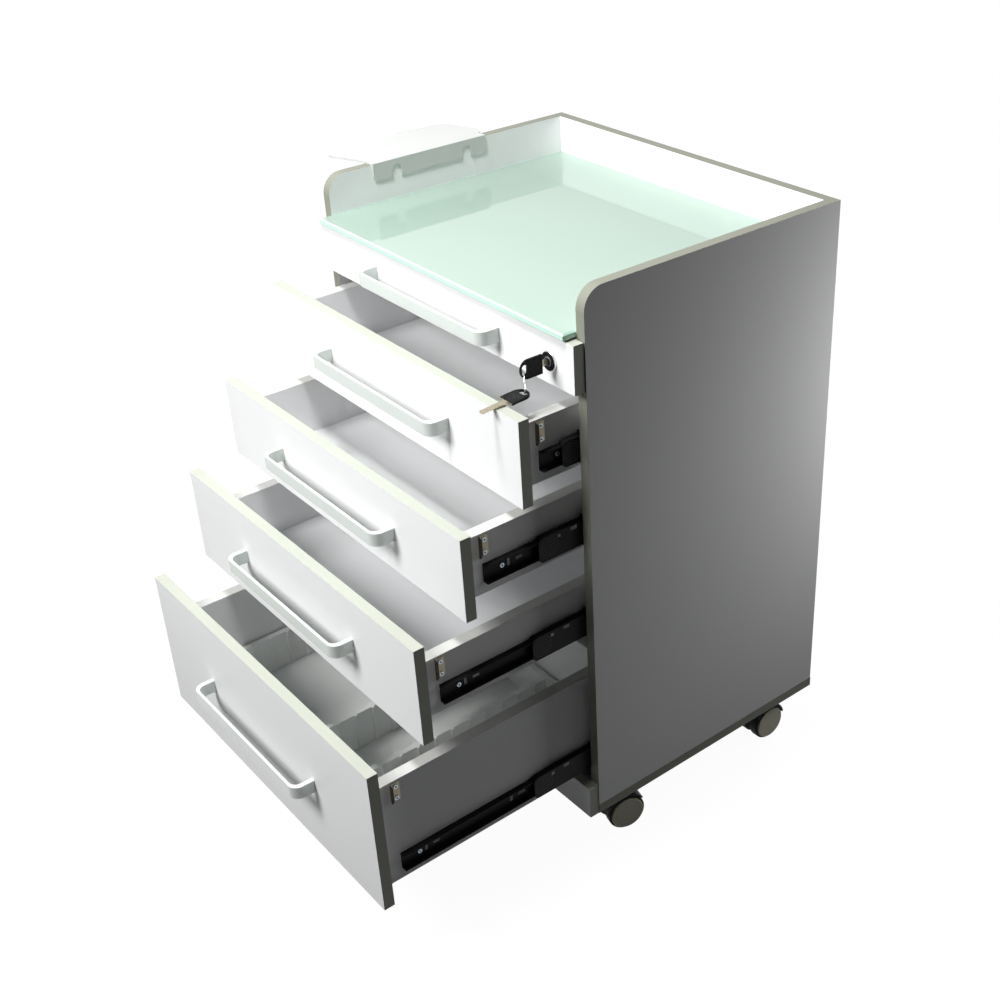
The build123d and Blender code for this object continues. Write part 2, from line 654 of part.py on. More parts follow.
def castor_frame():
    """Hood, web, axle and swivel boss of a castor whose trail points along +x."""
    room = WHEEL_RADIUS + HOOD_PLAY
    shell = room + HOOD
    web = WHEEL_INNER - FIT
    first, last = HOOD_ANGLES
    rays = [Vector(2 * shell, 0).rotate(Axis.Z, a) for a in (first, (first + last) / 2, last)]
    keep = make_face(Polyline((0, 0), *rays, close=True))
    hood = extrude(Plane.XZ * (Circle(shell) & keep), WHEEL_OUTER, both=True)
    hood = Pos(TRAIL, 0, WHEEL_RADIUS) * hood
    plate_bottom = CASTOR_HEIGHT - CASTOR_PLATE[1]
    boss_top = plate_bottom - SWIVEL_PLAY
    boss = Pos(0, 0, (WHEEL_RADIUS + boss_top) / 2) * Cylinder(BOSS_RADIUS, boss_top - WHEEL_RADIUS)
    body = hood + boss
    for sign in (-1, 1):
        inner = sign * web
        outer = sign * 2 * WHEEL_OUTER
        body -= rod(TRAIL, WHEEL_RADIUS, room, min(inner, outer), max(inner, outer))
    body += rod(TRAIL, WHEEL_RADIUS, HUB_RADIUS, -web, web)
    body += rod(TRAIL, WHEEL_RADIUS, AXLE_RADIUS, -WHEEL_OUTER, WHEEL_OUTER)
    depth = STEM_LENGTH + SWIVEL_PLAY
    return body - Pos(0, 0, plate_bottom - depth / 2) * Cylinder(STEM_RADIUS + FIT, depth)


def castor_wheels():
    """The two wheels of a castor whose trail points along +x."""
    wheels = []
    for sign in (-1, 1):
        y0, y1 = sorted((sign * WHEEL_INNER, sign * WHEEL_OUTER))
        wheel = rod(TRAIL, WHEEL_RADIUS, WHEEL_RADIUS, y0, y1)
        wheel = fillet(wheel.edges().filter_by(GeomType.CIRCLE), WHEEL_EDGE)
        wheels.append(wheel - rod(TRAIL, WHEEL_RADIUS, AXLE_RADIUS + FIT, y0, y1))
    return wheels


def castor_caps():
    """The pale discs on the outer faces of the wheels."""
    caps = []
    for sign in (-1, 1):
        y0, y1 = sorted((sign * WHEEL_OUTER, sign * (WHEEL_OUTER + CAP_THICKNESS)))
        disc = rod(TRAIL, WHEEL_RADIUS, CAP_RADIUS, y0, y1)
        rim = disc.faces().sort_by(Axis.Y)[-1 if sign > 0 else 0].edges()
        caps.append(fillet(rim, CAP_THICKNESS / 2))
    return caps


def castor_plates():
    """The four fixing plates with the stems that the castors swivel on."""
    side, thickness = CASTOR_PLATE
    bottom = BASE - thickness
    plates = []
    for name, (x, y), heading in castor_places():
        plate = Pos(x, y, bottom + thickness / 2) * Box(side, side, thickness)
        plate += Pos(x, y, bottom - STEM_LENGTH / 2) * Cylinder(STEM_RADIUS, STEM_LENGTH)
        for dx, dy in castor_screw_offsets():
            hole = Cylinder(CASTOR_SHANK + FIT, thickness)
            plate -= Pos(x + dx, y + dy, bottom + thickness / 2) * hole
        plates.append(plate)
    return plates


def castor_screw_offsets():
    half = CASTOR_SCREW_PITCH / 2
    return [(dx, dy) for dx in (-half, half) for dy in (-half, half)]


def castor_screws():
    """Sixteen screws, up through the plates into the bottom board."""
    radius, head, length = CASTOR_SCREW
    under = BASE - CASTOR_PLATE[1]
    screws = []
    for name, (x, y), heading in castor_places():
        for dx, dy in castor_screw_offsets():
            screw = Pos(0, 0, under - head / 2) * Cylinder(radius, head)
            screw += Pos(0, 0, (under + BASE + length) / 2) * Cylinder(CASTOR_SHANK, BASE + length - under)
            screws.append(Pos(x + dx, y + dy, 0) * screw)
    return screws


def main():
    os.makedirs("parts", exist_ok=True)
    screws = castor_screws()
    floor_board = bottom_panel()
    for screw in screws:
        floor_board -= screw
    save("side_panel_left", [side_panel(-1)])
    save("side_panel_right", [side_panel(1)])
    save("back_panel", [back_panel()])
    save("bottom_panel", [floor_board])
    save("deck_panel", [deck_panel()])
    save("front_rail", [front_rail()])
    save("glass_top", [glass_top()])
    save("glass_pads", glass_pads())
    outer_members = []
    for n in DRAWERS:
        outer_members += runner_outer(n)
        save(f"drawer_{n}_front", [drawer_front(n)])
        save(f"drawer_{n}_box", drawer_box(n))
        save(f"drawer_{n}_handle", handle(n))
        save(f"drawer_{n}_runners_inner", runner_inner(n))
        save(f"drawer_{n}_runners_middle", runner_middle(n))
        if n > 1:
            save(f"drawer_{n}_catch", catch_plate(n))
    save("runners_outer", outer_members)
    save("drawer_5_tray", [tray()])
    save("lock_body", lock_body())
    save("lock_plug", [lock_plug()])
    save("lock_cam", lock_cam())
    save("key_in_lock", key_in_lock())
    save("key_ring", [key_ring()])
    save("spare_key", spare_key())
    save("side_shelf", [side_shelf()])
    save("castor_plates", castor_plates())
    save("castor_screws", screws)
    for name, (x, y), heading in castor_places():
        place = Pos(x, y, 0) * Rot(0, 0, heading)
        save(f"castor_{name}_frame", [place * castor_frame()])
        save(f"castor_{name}_wheels", [place * wheel for wheel in castor_wheels()])
        save(f"castor_{name}_caps", [place * cap for cap in castor_caps()])


main()
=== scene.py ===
import math

import bpy
from mathutils import Matrix, Vector

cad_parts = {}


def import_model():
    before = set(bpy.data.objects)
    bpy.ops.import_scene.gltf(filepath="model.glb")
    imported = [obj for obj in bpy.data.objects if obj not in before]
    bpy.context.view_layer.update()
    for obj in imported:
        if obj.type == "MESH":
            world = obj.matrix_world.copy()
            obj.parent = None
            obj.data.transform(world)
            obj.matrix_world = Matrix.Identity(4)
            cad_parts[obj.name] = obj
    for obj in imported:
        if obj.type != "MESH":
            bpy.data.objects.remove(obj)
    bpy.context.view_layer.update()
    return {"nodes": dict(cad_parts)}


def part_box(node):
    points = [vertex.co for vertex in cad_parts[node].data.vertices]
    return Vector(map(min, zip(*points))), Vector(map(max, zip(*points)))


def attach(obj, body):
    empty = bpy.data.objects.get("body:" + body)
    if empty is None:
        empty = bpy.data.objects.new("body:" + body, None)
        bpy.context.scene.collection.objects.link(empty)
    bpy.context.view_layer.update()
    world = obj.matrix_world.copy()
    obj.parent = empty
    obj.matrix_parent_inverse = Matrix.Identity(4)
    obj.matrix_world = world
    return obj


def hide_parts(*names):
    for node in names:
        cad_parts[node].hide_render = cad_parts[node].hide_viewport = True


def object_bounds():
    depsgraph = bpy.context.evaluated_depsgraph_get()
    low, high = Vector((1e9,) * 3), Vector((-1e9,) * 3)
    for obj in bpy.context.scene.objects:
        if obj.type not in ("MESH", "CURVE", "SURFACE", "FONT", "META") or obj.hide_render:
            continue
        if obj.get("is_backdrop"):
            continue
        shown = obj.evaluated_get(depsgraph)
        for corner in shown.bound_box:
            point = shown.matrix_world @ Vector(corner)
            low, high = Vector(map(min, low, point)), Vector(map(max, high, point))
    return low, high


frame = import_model()
nodes = frame["nodes"]

MM = 0.001
DRAWERS = (1, 2, 3, 4, 5)
CASTORS = ("front_left", "front_right", "back_left", "back_right")

# Boards. The three tapes are tuned to the photograph under the lamps below.
BOARD_FACE = (0.90, 0.905, 0.91)
FRONT_TAPE = (0.49, 0.515, 0.45)
CARCASS_TAPE = (0.27, 0.28, 0.23)
BOX_TAPE = (0.66, 0.66, 0.635)

# Painted details, in m. A pair is a ring's inner and outer radius.
SOFT_EDGE = 0.1 * MM            # half the blur of a painted outline
SCREW_HEAD = 3.25 * MM          # radius
# the screw recess is painted near-black as painted shade
SCREW_RECESS = 1.6 * MM
CAP_GROOVE = (30.6 * MM, 31.2 * MM)     # from the middle between a castor's two caps
CAP_BOSS = 22.6 * MM
# the lock's rim and plug step are rings of painted highlight
LOCK_RIM = (12.7 * MM, 14.2 * MM)
PLUG_STEP = (5.6 * MM, 6.2 * MM)
KEY_HEAD = 34 * MM              # from the head's end to where the blade starts
KEY_FIELD_HALF = 8.5 * MM
KEY_RIB_HALF = 0.6 * MM
RIB_WAVES = 1800.0              # curved ribs of a middle member, radians per metre
LOCK_WAVES = 1400.0             # turned rings of the lock, radians per metre

# Places along the runners, catches and keys, in mm.
KEY_FIELD = (3, 16)             # raised field, from the root of the blade
SCREW_IN = 28.5                 # screws of an inner runner member, from its ends
RIB_REACH = 17.0                # of the curved ribs, and their centre from the member's front
WEB_IN = 8.5                    # face of an inner member's web, from its outer side
PLATE = 0.15                    # how far a mark stands out
SUNK = (-1.15, -0.4)            # a plate in a slot, from that face
CATCH_SCREW_IN = 7.6            # from the front of a catch
CATCH_SCREW_DROPS = (6.0, 25.0)     # from the top of a catch
SHELF_ARCHES = (118.0, 246.0)   # y of the slots in the shelf's flange

# The cutters of those slots, in m.
ARCH_WIDTH = 17.0 * MM
ARCH_HEIGHT = 17.5 * MM
ARCH_SIDES = 16                 # of the round top
CUT_DEPTH = 3.2 * MM            # from the flange's face to the cabinet's middle
CUT_PAST = 1 * MM               # how far a cutter stands clear of the flange


# ---------------------------------------------------------------- materials
class Paint:
    """A node material on a Principled shader, put together from short calls."""

    def __init__(self, name, roughness=0.4, metallic=0.0):
        self.material = bpy.data.materials.new(name)
        self.material.use_nodes = True
        self.tree = self.material.node_tree
        self.shader = self.tree.nodes["Principled BSDF"]
        self.shader.inputs["Roughness"].default_value = roughness
        self.shader.inputs["Metallic"].default_value = metallic
        self.places = self.tree.nodes.new("ShaderNodeTexCoord")
        self.point = self.places.outputs["Object"]
        self.normal = self.places.outputs["Normal"]

    def feed(self, socket, value):
        """Links a socket into another, or writes a plain value."""
        if isinstance(value, bpy.types.NodeSocket):
            self.tree.links.new(value, socket)
        elif isinstance(value, tuple) and len(value) == 3 and socket.type == "RGBA":
            socket.default_value = (*value, 1.0)
        else:
            socket.default_value = value

    def math(self, operation, a, b=0.0, clamp=False):
        node = self.tree.nodes.new("ShaderNodeMath")
        node.operation = operation
        node.use_clamp = clamp
        for socket, value in zip(node.inputs, (a, b)):
            self.feed(socket, value)
        return node.outputs[0]

    def axes(self, vector):
        """The x, y and z of a vector socket."""
        node = self.tree.nodes.new("ShaderNodeSeparateXYZ")
        self.feed(node.inputs[0], vector)
        return node.outputs

    def mix(self, factor, a, b):
        """Colour a where factor is 0 and b where it is 1."""
        node = self.tree.nodes.new("ShaderNodeMix")
        node.data_type = "RGBA"
        self.feed(node.inputs[0], factor)
        self.feed(node.inputs[6], a)
        self.feed(node.inputs[7], b)
        return node.outputs[2]

    def blend(self, factor, a, b):
        """Number a where factor is 0 and b where it is 1."""
        node = self.tree.nodes.new("ShaderNodeMix")
        self.feed(node.inputs[0], factor)
        self.feed(node.inputs[2], a)
        self.feed(node.inputs[3], b)
        return node.outputs[0]

    def step(self, value, low, high):
        """0 below low, 1 above high."""
        node = self.tree.nodes.new("ShaderNodeMapRange")
        self.feed(node.inputs[0], value)
        node.inputs[1].default_value = low
        node.inputs[2].default_value = high
        return node.outputs[0]

    def band(self, value, low, high, edge):
        """1 between low and high, with soft ends."""
        rise = self.step(value, low - edge, low)
        fall = self.step(value, high, high + edge)
        return self.math("SUBTRACT", rise, fall, clamp=True)

    def reach(self, centre, counted=(1, 1, 1)):
        """How far a point is from a centre, along the axes that are counted."""
        flat = self.tree.nodes.new("ShaderNodeVectorMath")
        flat.operation = "MULTIPLY"
        self.feed(flat.inputs[0], self.point)
        flat.inputs[1].default_value = counted
        far = self.tree.nodes.new("ShaderNodeVectorMath")
        far.operation = "DISTANCE"
        self.feed(far.inputs[0], flat.outputs[0])
        far.inputs[1].default_value = [c * k for c, k in zip(centre, counted)]
        return far.outputs["Value"]

    def within(self, value, limit):
        """1 below the limit, 0 above it."""
        past = self.step(value, limit - SOFT_EDGE, limit + SOFT_EDGE)
        return self.math("SUBTRACT", 1.0, past)

    def noise(self, scale, detail=2.0, stretch=None):
        node = self.tree.nodes.new("ShaderNodeTexNoise")
        place = self.point
        if stretch:
            mapping = self.tree.nodes.new("ShaderNodeMapping")
            self.feed(mapping.inputs["Vector"], place)
            mapping.inputs["Scale"].default_value = stretch
            place = mapping.outputs[0]
        self.feed(node.inputs["Vector"], place)
        node.inputs["Scale"].default_value = scale
        node.inputs["Detail"].default_value = detail
        return node.outputs["Fac"]

    def color(self, value):
        self.feed(self.shader.inputs["Base Color"], value)

    def roughness(self, value):
        self.feed(self.shader.inputs["Roughness"], value)

    def relief(self, height, strength, distance, round_edges=0.0):
        """Bump, over shading that rounds the hard edges of the mesh."""
        bump = self.tree.nodes.new("ShaderNodeBump")
        bump.inputs["Strength"].default_value = strength
        bump.inputs["Distance"].default_value = distance
        self.feed(bump.inputs["Height"], height)
        if round_edges:
            bevel = self.tree.nodes.new("ShaderNodeBevel")
            bevel.samples = 4
            bevel.inputs["Radius"].default_value = round_edges
            self.feed(bump.inputs["Normal"], bevel.outputs[0])
        self.feed(self.shader.inputs["Normal"], bump.outputs[0])

    def set(self, **values):
        for name, value in values.items():
            self.shader.inputs[name.replace("_", " ")].default_value = value


def dim(color, share):
    """A colour at a share of its brightness."""
    return tuple(c * share for c in color)


def wear(paint, base, darker, scale):
    """A colour that drifts slightly over the surface."""
    return paint.mix(paint.noise(scale, 3.0), base, darker)


def laminate(name, banded, tape=FRONT_TAPE):
    """White melamine board; banded picks, from the normal's axes, where the tape is."""
    paint = Paint(name)
    n = paint.axes(paint.normal)
    mask = banded(paint, n)
    white = wear(paint, BOARD_FACE, dim(BOARD_FACE, 0.965), 4.0)
    tint = wear(paint, tape, dim(tape, 0.94), 9.0)
    paint.color(paint.mix(mask, white, tint))
    grain = paint.noise(650.0, 2.0)
    paint.set(Specular_IOR_Level=0.08)
    paint.roughness(paint.blend(grain, 0.34, 0.46))
    paint.relief(grain, 0.10, 0.0002, 0.0006)
    return paint.material


def off(axis):
    """A mask picker: 1 on every face but those square to this axis."""
    def pick(paint, n):
        value = paint.math("ABSOLUTE", n["XYZ".index(axis)])
        return paint.math("SUBTRACT", 1.0, paint.step(value, 0.5, 0.6))
    return pick


def box_top(top):
    """A mask picker: 1 on upward faces at the upper edge of a drawer box."""
    def pick(paint, n):
        up = paint.step(n[2], 0.5, 0.6)
        high = paint.step(paint.axes(paint.point)[2], top - 2 * MM, top - 1 * MM)
        return paint.math("MULTIPLY", up, high)
    return pick


def glass():
    """Mint glass: an opaque colour under a clear coat, and a greener, lighter edge."""
    paint = Paint("mint_glass", roughness=0.03)
    n = paint.axes(paint.normal)
    edge = paint.math("SUBTRACT", 1.0, paint.step(n[2], 0.9, 0.99))
    top = wear(paint, (0.36, 0.485, 0.41), (0.34, 0.465, 0.39), 2.0)
    paint.color(paint.mix(edge, top, (0.52, 0.78, 0.67)))
    paint.roughness(paint.blend(paint.noise(30.0), 0.02, 0.05))
    paint.set(IOR=1.52, Coat_Weight=0.6, Coat_Roughness=0.02)
    paint.relief(paint.noise(3.0), 0.02, 0.001, 0.0004)
    return paint.material


def enamel(name, color, rough=0.22):
    paint = Paint(name)
    paint.color(wear(paint, color, dim(color, 0.96), 14.0))
    grain = paint.noise(400.0, 2.0)
    paint.roughness(paint.blend(grain, rough - 0.04, rough + 0.06))
    paint.set(Coat_Weight=0.3, Coat_Roughness=0.1)
    paint.relief(grain, 0.05, 0.0002, 0.0004)
    return paint.material


def screw_heads(paint, base, places):
    """Plated screw heads, each with painted shade in its recess, at each (y, z), over a base
    colour.
    """
    gap = None
    for y, z in places:
        far = paint.reach((0, y, z), (0, 1, 1))
        gap = far if gap is None else paint.math("MINIMUM", gap, far)
    head = paint.within(gap, SCREW_HEAD)
    color = paint.mix(head, base, (0.33, 0.38, 0.42))
    # The near-black disc in each head is painted shade in the recess.
    return paint.mix(paint.within(gap, SCREW_RECESS), color, (0.01, 0.01, 0.01)), head


def coated_steel(name, screws=(), arcs=None):
    """Black coated steel; screws are plated heads, arcs the centre of curved ribs that are
    painted lighter as a painted highlight.
    """
    paint = Paint(name)
    streaks = paint.noise(180.0, 3.0, (1.0, 0.05, 1.0))
    color = paint.mix(streaks, (0.006, 0.006, 0.006), (0.013, 0.013, 0.013))
    height = streaks
    if screws:
        color, head = screw_heads(paint, color, screws)
        paint.feed(paint.shader.inputs["Metallic"], head)
    if arcs:
        far = paint.reach((0, *arcs), (0, 1, 1))
        ribs = paint.math("SINE", paint.math("MULTIPLY", far, RIB_WAVES))
        near = paint.within(far, RIB_REACH * MM)
        ribs = paint.math("MULTIPLY", paint.math("MULTIPLY", ribs, near), 3.0, clamp=True)
        # The ribs are bumped and also painted lighter: a painted highlight along them.
        color = paint.mix(ribs, color, (0.040, 0.040, 0.040))
        height = paint.math("ADD", height, paint.math("MULTIPLY", ribs, 3.0))
    paint.color(color)
    paint.roughness(paint.blend(streaks, 0.32, 0.48))
    paint.set(Specular_IOR_Level=0.05)
    paint.relief(height, 0.08, 0.0002, 0.0003)
    return paint.material


def metal(name, color, rough=0.28, screws=()):
    paint = Paint(name, metallic=1.0)
    grain = paint.noise(500.0, 3.0, (1.0, 1.0, 0.15))
    shade = paint.mix(grain, color, dim(color, 0.85))
    if screws:
        shade = screw_heads(paint, shade, screws)[0]
    paint.color(shade)
    paint.roughness(paint.blend(grain, rough - 0.08, rough + 0.1))
    paint.relief(grain, 0.06, 0.0001, 0.0002)
    return paint.material


def plastic(name, color, rough, grain_scale=900.0):
    paint = Paint(name)
    paint.color(wear(paint, color, dim(color, 0.9), 25.0))
    paint.set(Specular_IOR_Level=0.06)
    grain = paint.noise(grain_scale, 2.0)
    paint.roughness(paint.blend(grain, rough - 0.06, rough + 0.08))
    paint.relief(grain, 0.12, 0.0002, 0.0003)
    return paint.material


def castor_cap(name, centre):
    """Grey-beige cap with a faint groove round it, painted darker as painted shade, and a
    small boss.
    """
    paint = Paint(name)
    base = wear(paint, (0.56, 0.54, 0.42), (0.50, 0.48, 0.37), 25.0)
    far = paint.reach(centre)
    groove = paint.band(far, *CAP_GROOVE, 0.3 * MM)
    boss = paint.within(far, CAP_BOSS)
    # The groove's darker colour is painted shade in the groove.
    paint.color(paint.mix(groove, base, (0.48, 0.46, 0.36)))
    paint.set(Specular_IOR_Level=0.25)
    paint.roughness(paint.blend(paint.noise(900.0), 0.36, 0.5))
    paint.relief(paint.math("SUBTRACT", boss, groove), 0.1, 0.0004, 0.0004)
    return paint.material


def milky(name, color, rough, through):
    """Translucent plastic."""
    paint = Paint(name)
    paint.color(wear(paint, color, dim(color, 0.95), 12.0))
    grain = paint.noise(300.0, 2.0)
    paint.roughness(paint.blend(grain, rough - 0.05, rough + 0.05))
    paint.set(IOR=1.49, Transmission_Weight=through, Specular_IOR_Level=0.3)
    paint.relief(grain, 0.05, 0.0002, 0.0004)
    return paint.material


def key_black(name, split, along, middle):
    """Black plastic head with a bare raised field and rib, painted a shade lighter as a
    painted highlight, and a steel-brass blade.

    split is the y where they meet, along the blade's direction from there.
    """
    paint = Paint(name)
    n = paint.axes(paint.point)
    blade = paint.step(n[1], split - SOFT_EDGE, split + SOFT_EDGE)
    if along < 0:
        blade = paint.math("SUBTRACT", 1.0, blade)
    ends = sorted(split - along * end * MM for end in KEY_FIELD)
    field = paint.band(n[1], *ends, 0.4 * MM)
    across = "XYZ".index(middle[0])
    side = paint.math("ABSOLUTE", paint.math("SUBTRACT", n[across], middle[1]))
    field = paint.math("MULTIPLY", field, paint.within(side, KEY_FIELD_HALF))
    rib = paint.within(side, KEY_RIB_HALF)
    height = paint.math("MAXIMUM", field, rib)
    grain = paint.noise(700.0, 2.0)
    # The raised field and rib are painted lighter than the head: a painted highlight on the
    # raised parts.
    head = paint.mix(height, (0.004, 0.004, 0.004), (0.009, 0.009, 0.009))
    brass = wear(paint, (0.62, 0.55, 0.40), (0.50, 0.46, 0.36), 300.0)
    paint.color(paint.mix(blade, head, brass))
    paint.feed(paint.shader.inputs["Metallic"], blade)
    paint.roughness(paint.blend(grain, 0.22, 0.32))
    paint.set(Specular_IOR_Level=0.1)
    paint.relief(height, 0.5, 0.0005, 0.0003)
    return paint.material


def lock_black(name, centre):
    """Gloss black casting; its rim and a fainter ring round the plug are painted highlights
    in bright metal.
    """
    paint = Paint(name)
    far = paint.reach(centre, (1, 0, 1))
    rim = paint.band(far, *LOCK_RIM, 0.3 * MM)
    step = paint.band(far, *PLUG_STEP, 0.2 * MM)
    # The rim and the plug's step are painted as bright metal: painted highlights on the black
    # edges.
    bright = paint.math("MAXIMUM", rim, paint.math("MULTIPLY", step, 0.5))
    black = wear(paint, (0.004, 0.004, 0.004), (0.007, 0.007, 0.007), 80.0)
    paint.color(paint.mix(bright, black, (0.70, 0.70, 0.71)))
    paint.feed(paint.shader.inputs["Metallic"], bright)
    paint.roughness(paint.blend(paint.noise(300.0), 0.14, 0.24))
    paint.set(Specular_IOR_Level=0.12)
    rings = paint.math("SINE", paint.math("MULTIPLY", far, LOCK_WAVES))
    paint.relief(rings, 0.3, 0.0003, 0.0004)
    return paint.material


# ---------------------------------------------------------------- pieces
SLAB_FACES = (
    (0, 1, 3, 2), (4, 6, 7, 5), (0, 4, 5, 1), (2, 3, 7, 6), (0, 2, 6, 4), (1, 5, 7, 3),
)


def slab(name, low, high, material, body, slot):
    """A small plate between two corners, in mm, and its twin on the other side."""
    for side, sign in (("right", 1), ("left", -1)):
        corners = [
            (sign * x * MM, y * MM, z * MM)
            for x in (low[0], high[0]) for y in (low[1], high[1]) for z in (low[2], high[2])
        ]
        faces = [face if sign > 0 else face[::-1] for face in SLAB_FACES]
        mesh = bpy.data.meshes.new(f"{name}_{side}")
        mesh.from_pydata(corners, [], faces)
        mesh.materials.append(material)
        piece = bpy.data.objects.new(f"{name}_{side}", mesh)
        bpy.context.scene.collection.objects.link(piece)
        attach(piece, body)


def dress(node, material):
    for slot in nodes[node].material_slots:
        slot.material = material


def arch(y, width, height, low, high):
    """A cutter through the shelf's flange: an upright slot with a round top."""
    radius = width / 2
    spring = low.z + height - radius
    outline = [(y - radius, low.z - CUT_PAST), (y + radius, low.z - CUT_PAST)]
    for i in range(ARCH_SIDES + 1):
        turn = math.pi * i / ARCH_SIDES
        outline.append((y + radius * math.cos(turn), spring + radius * math.sin(turn)))
    count = len(outline)
    x0, x1 = high.x - CUT_DEPTH, high.x + CUT_PAST
    corners = [(x, *place) for x in (x0, x1) for place in outline]
    faces = [tuple(range(count))[::-1], tuple(range(count, 2 * count))]
    for i in range(count):
        after = (i + 1) % count
        faces.append((i, after, after + count, i + count))
    mesh = bpy.data.meshes.new("arch")
    mesh.from_pydata(corners, [], faces)
    mesh.validate()
    return mesh


def arched_shelf(material):
    """The side shelf with the round-topped slots of its flange."""
    low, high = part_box("side_shelf")
    source = nodes["side_shelf"]
    shelf = bpy.data.objects.new("side_shelf_arched", source.data.copy())
    shelf.matrix_world = source.matrix_world.copy()
    bpy.context.scene.collection.objects.link(shelf)
    cutters = []
    for i, y in enumerate(SHELF_ARCHES):
        shape = arch(y * MM, ARCH_WIDTH, ARCH_HEIGHT, low, high)
        cutter = bpy.data.objects.new(f"arch_{i}", shape)
        bpy.context.scene.collection.objects.link(cutter)
        cut = shelf.modifiers.new(f"arch_{i}", "BOOLEAN")
        cut.operation = "DIFFERENCE"
        cut.solver = "EXACT"
        cut.object = cutter
        cutters.append(cutter)
    bpy.context.view_layer.update()
    solid = shelf.evaluated_get(bpy.context.evaluated_depsgraph_get())
    mesh = bpy.data.meshes.new_from_object(solid)
    shelf.modifiers.clear()
    shelf.data = mesh
    for cutter in cutters:
        bpy.data.objects.remove(cutter)
    mesh.materials.clear()
    mesh.materials.append(material)
    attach(shelf, "side_shelf")
    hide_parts("side_shelf")


# ---------------------------------------------------------------- dressing
board_front = laminate("front_board", off("Y"))
board_side = laminate("side_board", off("X"), tape=CARCASS_TAPE)
board_flat = laminate("flat_board", off("Z"), tape=CARCASS_TAPE)
board_back = laminate("back_board", off("Y"), tape=CARCASS_TAPE)
for name in ("side_panel_left", "side_panel_right"):
    dress(name, board_side)
for name in ("bottom_panel", "deck_panel"):
    dress(name, board_flat)
dress("back_panel", board_back)
dress("front_rail", board_front)
dress("glass_top", glass())
dress("glass_pads", milky("clear_pad", (0.80, 0.82, 0.80), 0.25, 0.8))

handle_enamel = enamel("handle_enamel", (0.68, 0.73, 0.70))
runner_black = coated_steel("runner_black")
zinc = metal("zinc", (0.55, 0.56, 0.58))
pale_slot = plastic("pale_slot", (0.62, 0.62, 0.60), 0.5, 600.0)
for n in DRAWERS:
    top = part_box(f"drawer_{n}_box")[1].z
    dress(f"drawer_{n}_front", board_front)
    dress(f"drawer_{n}_box", laminate(f"box_board_{n}", box_top(top), BOX_TAPE))
    dress(f"drawer_{n}_handle", handle_enamel)
    low, high = (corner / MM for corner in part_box(f"drawer_{n}_runners_inner"))
    level = (low.z + high.z) / 2
    web = high.x - WEB_IN
    first = low.y + SCREW_IN
    places = [(y * MM, level * MM) for y in (first, high.y - SCREW_IN)]
    dress(f"drawer_{n}_runners_inner", coated_steel(f"runner_inner_{n}", places))
    # name, start and end behind the first screw, half height, place from the web
    marks = (
        ("slot_a", 9.0, 13.5, 5.5, SUNK),
        ("slot_b", 22.5, 33.5, 2.25, SUNK),
        ("slot_c", 152.5, 157.0, 5.0, (0.0, PLATE)),
        ("slot_d", 167.5, 178.5, 2.25, (0.0, PLATE)),
    )
    for name, start, end, half, (inner, outer) in marks:
        corners = (
            (web + inner, first + start, level - half),
            (web + outer, first + end, level + half),
        )
        slab(f"drawer_{n}_{name}", *corners, pale_slot, f"drawer_{n}", "runner_steel")
    low, high = (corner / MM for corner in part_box(f"drawer_{n}_runners_middle"))
    arcs = ((low.y + RIB_REACH) * MM, level * MM)
    dress(f"drawer_{n}_runners_middle", coated_steel(f"runner_middle_{n}", arcs=arcs))
    # name, start and end behind the member's front, bottom and top above its middle
    marks = (("mark_a", 31.0, 36.0, 9.5, 14.0), ("mark_b", 53.0, 63.0, 11.0, 16.5))
    for name, start, end, bottom, top in marks:
        corners = (
            (high.x, low.y + start, level + bottom),
            (high.x + PLATE, low.y + end, level + top),
        )
        slab(f"runner_{n}_{name}", *corners, pale_slot, f"runner_middle_{n}", "runner_steel")
    if n > 1:
        low, high = (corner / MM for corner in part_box(f"drawer_{n}_catch"))
        y = (low.y + CATCH_SCREW_IN) * MM
        places = [(y, (high.z - drop) * MM) for drop in CATCH_SCREW_DROPS]
        dress(f"drawer_{n}_catch", metal(f"nickel_{n}", (0.17, 0.155, 0.115), 0.34, places))
dress("runners_outer", runner_black)
dress("drawer_5_tray", milky("tray_plastic", (0.92, 0.94, 0.92), 0.35, 0.1))
acrylic = milky("milky_acrylic", (0.66, 0.68, 0.66), 0.3, 0.12)
dress("side_shelf", acrylic)
arched_shelf(acrylic)

low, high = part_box("lock_plug")
lock_gloss = lock_black("lock_black", (low + high) / 2)
dress("lock_body", lock_gloss)
dress("lock_plug", lock_gloss)
dress("lock_cam", zinc)
key_low, key_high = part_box("key_in_lock")
spare_low, spare_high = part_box("spare_key")
middle = ("Z", (key_low.z + key_high.z) / 2)
dress("key_in_lock", key_black("key_in_lock", key_low.y + KEY_HEAD, 1, middle))
middle = ("X", (spare_low.x + spare_high.x) / 2)
dress("spare_key", key_black("spare_key", spare_high.y - KEY_HEAD, -1, middle))
dress("key_ring", metal("ring_steel", (0.62, 0.62, 0.62), 0.2))

castor_black = plastic("castor_black", (0.005, 0.005, 0.005), 0.35)
tyre_black = plastic("tyre_black", (0.006, 0.006, 0.006), 0.5, 600.0)
for name in CASTORS:
    dress(f"castor_{name}_frame", castor_black)
    dress(f"castor_{name}_wheels", tyre_black)
    low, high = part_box(f"castor_{name}_caps")
    dress(f"castor_{name}_caps", castor_cap(f"castor_cap_{name}", (low + high) / 2))
dress("castor_plates", zinc)
dress("castor_screws", zinc)


# ---------------------------------------------------------------- camera
AZIMUTH = 51.441            # degrees round from straight at the fronts, to the right
ELEVATION = 30.567
ROLL = -2.026
EYE = Vector((1.52117, -0.98924, 1.55674))
FILM = 36                   # width in mm
FOCAL = 51.462              # mm
SHIFT = (-0.07984, -0.00992)


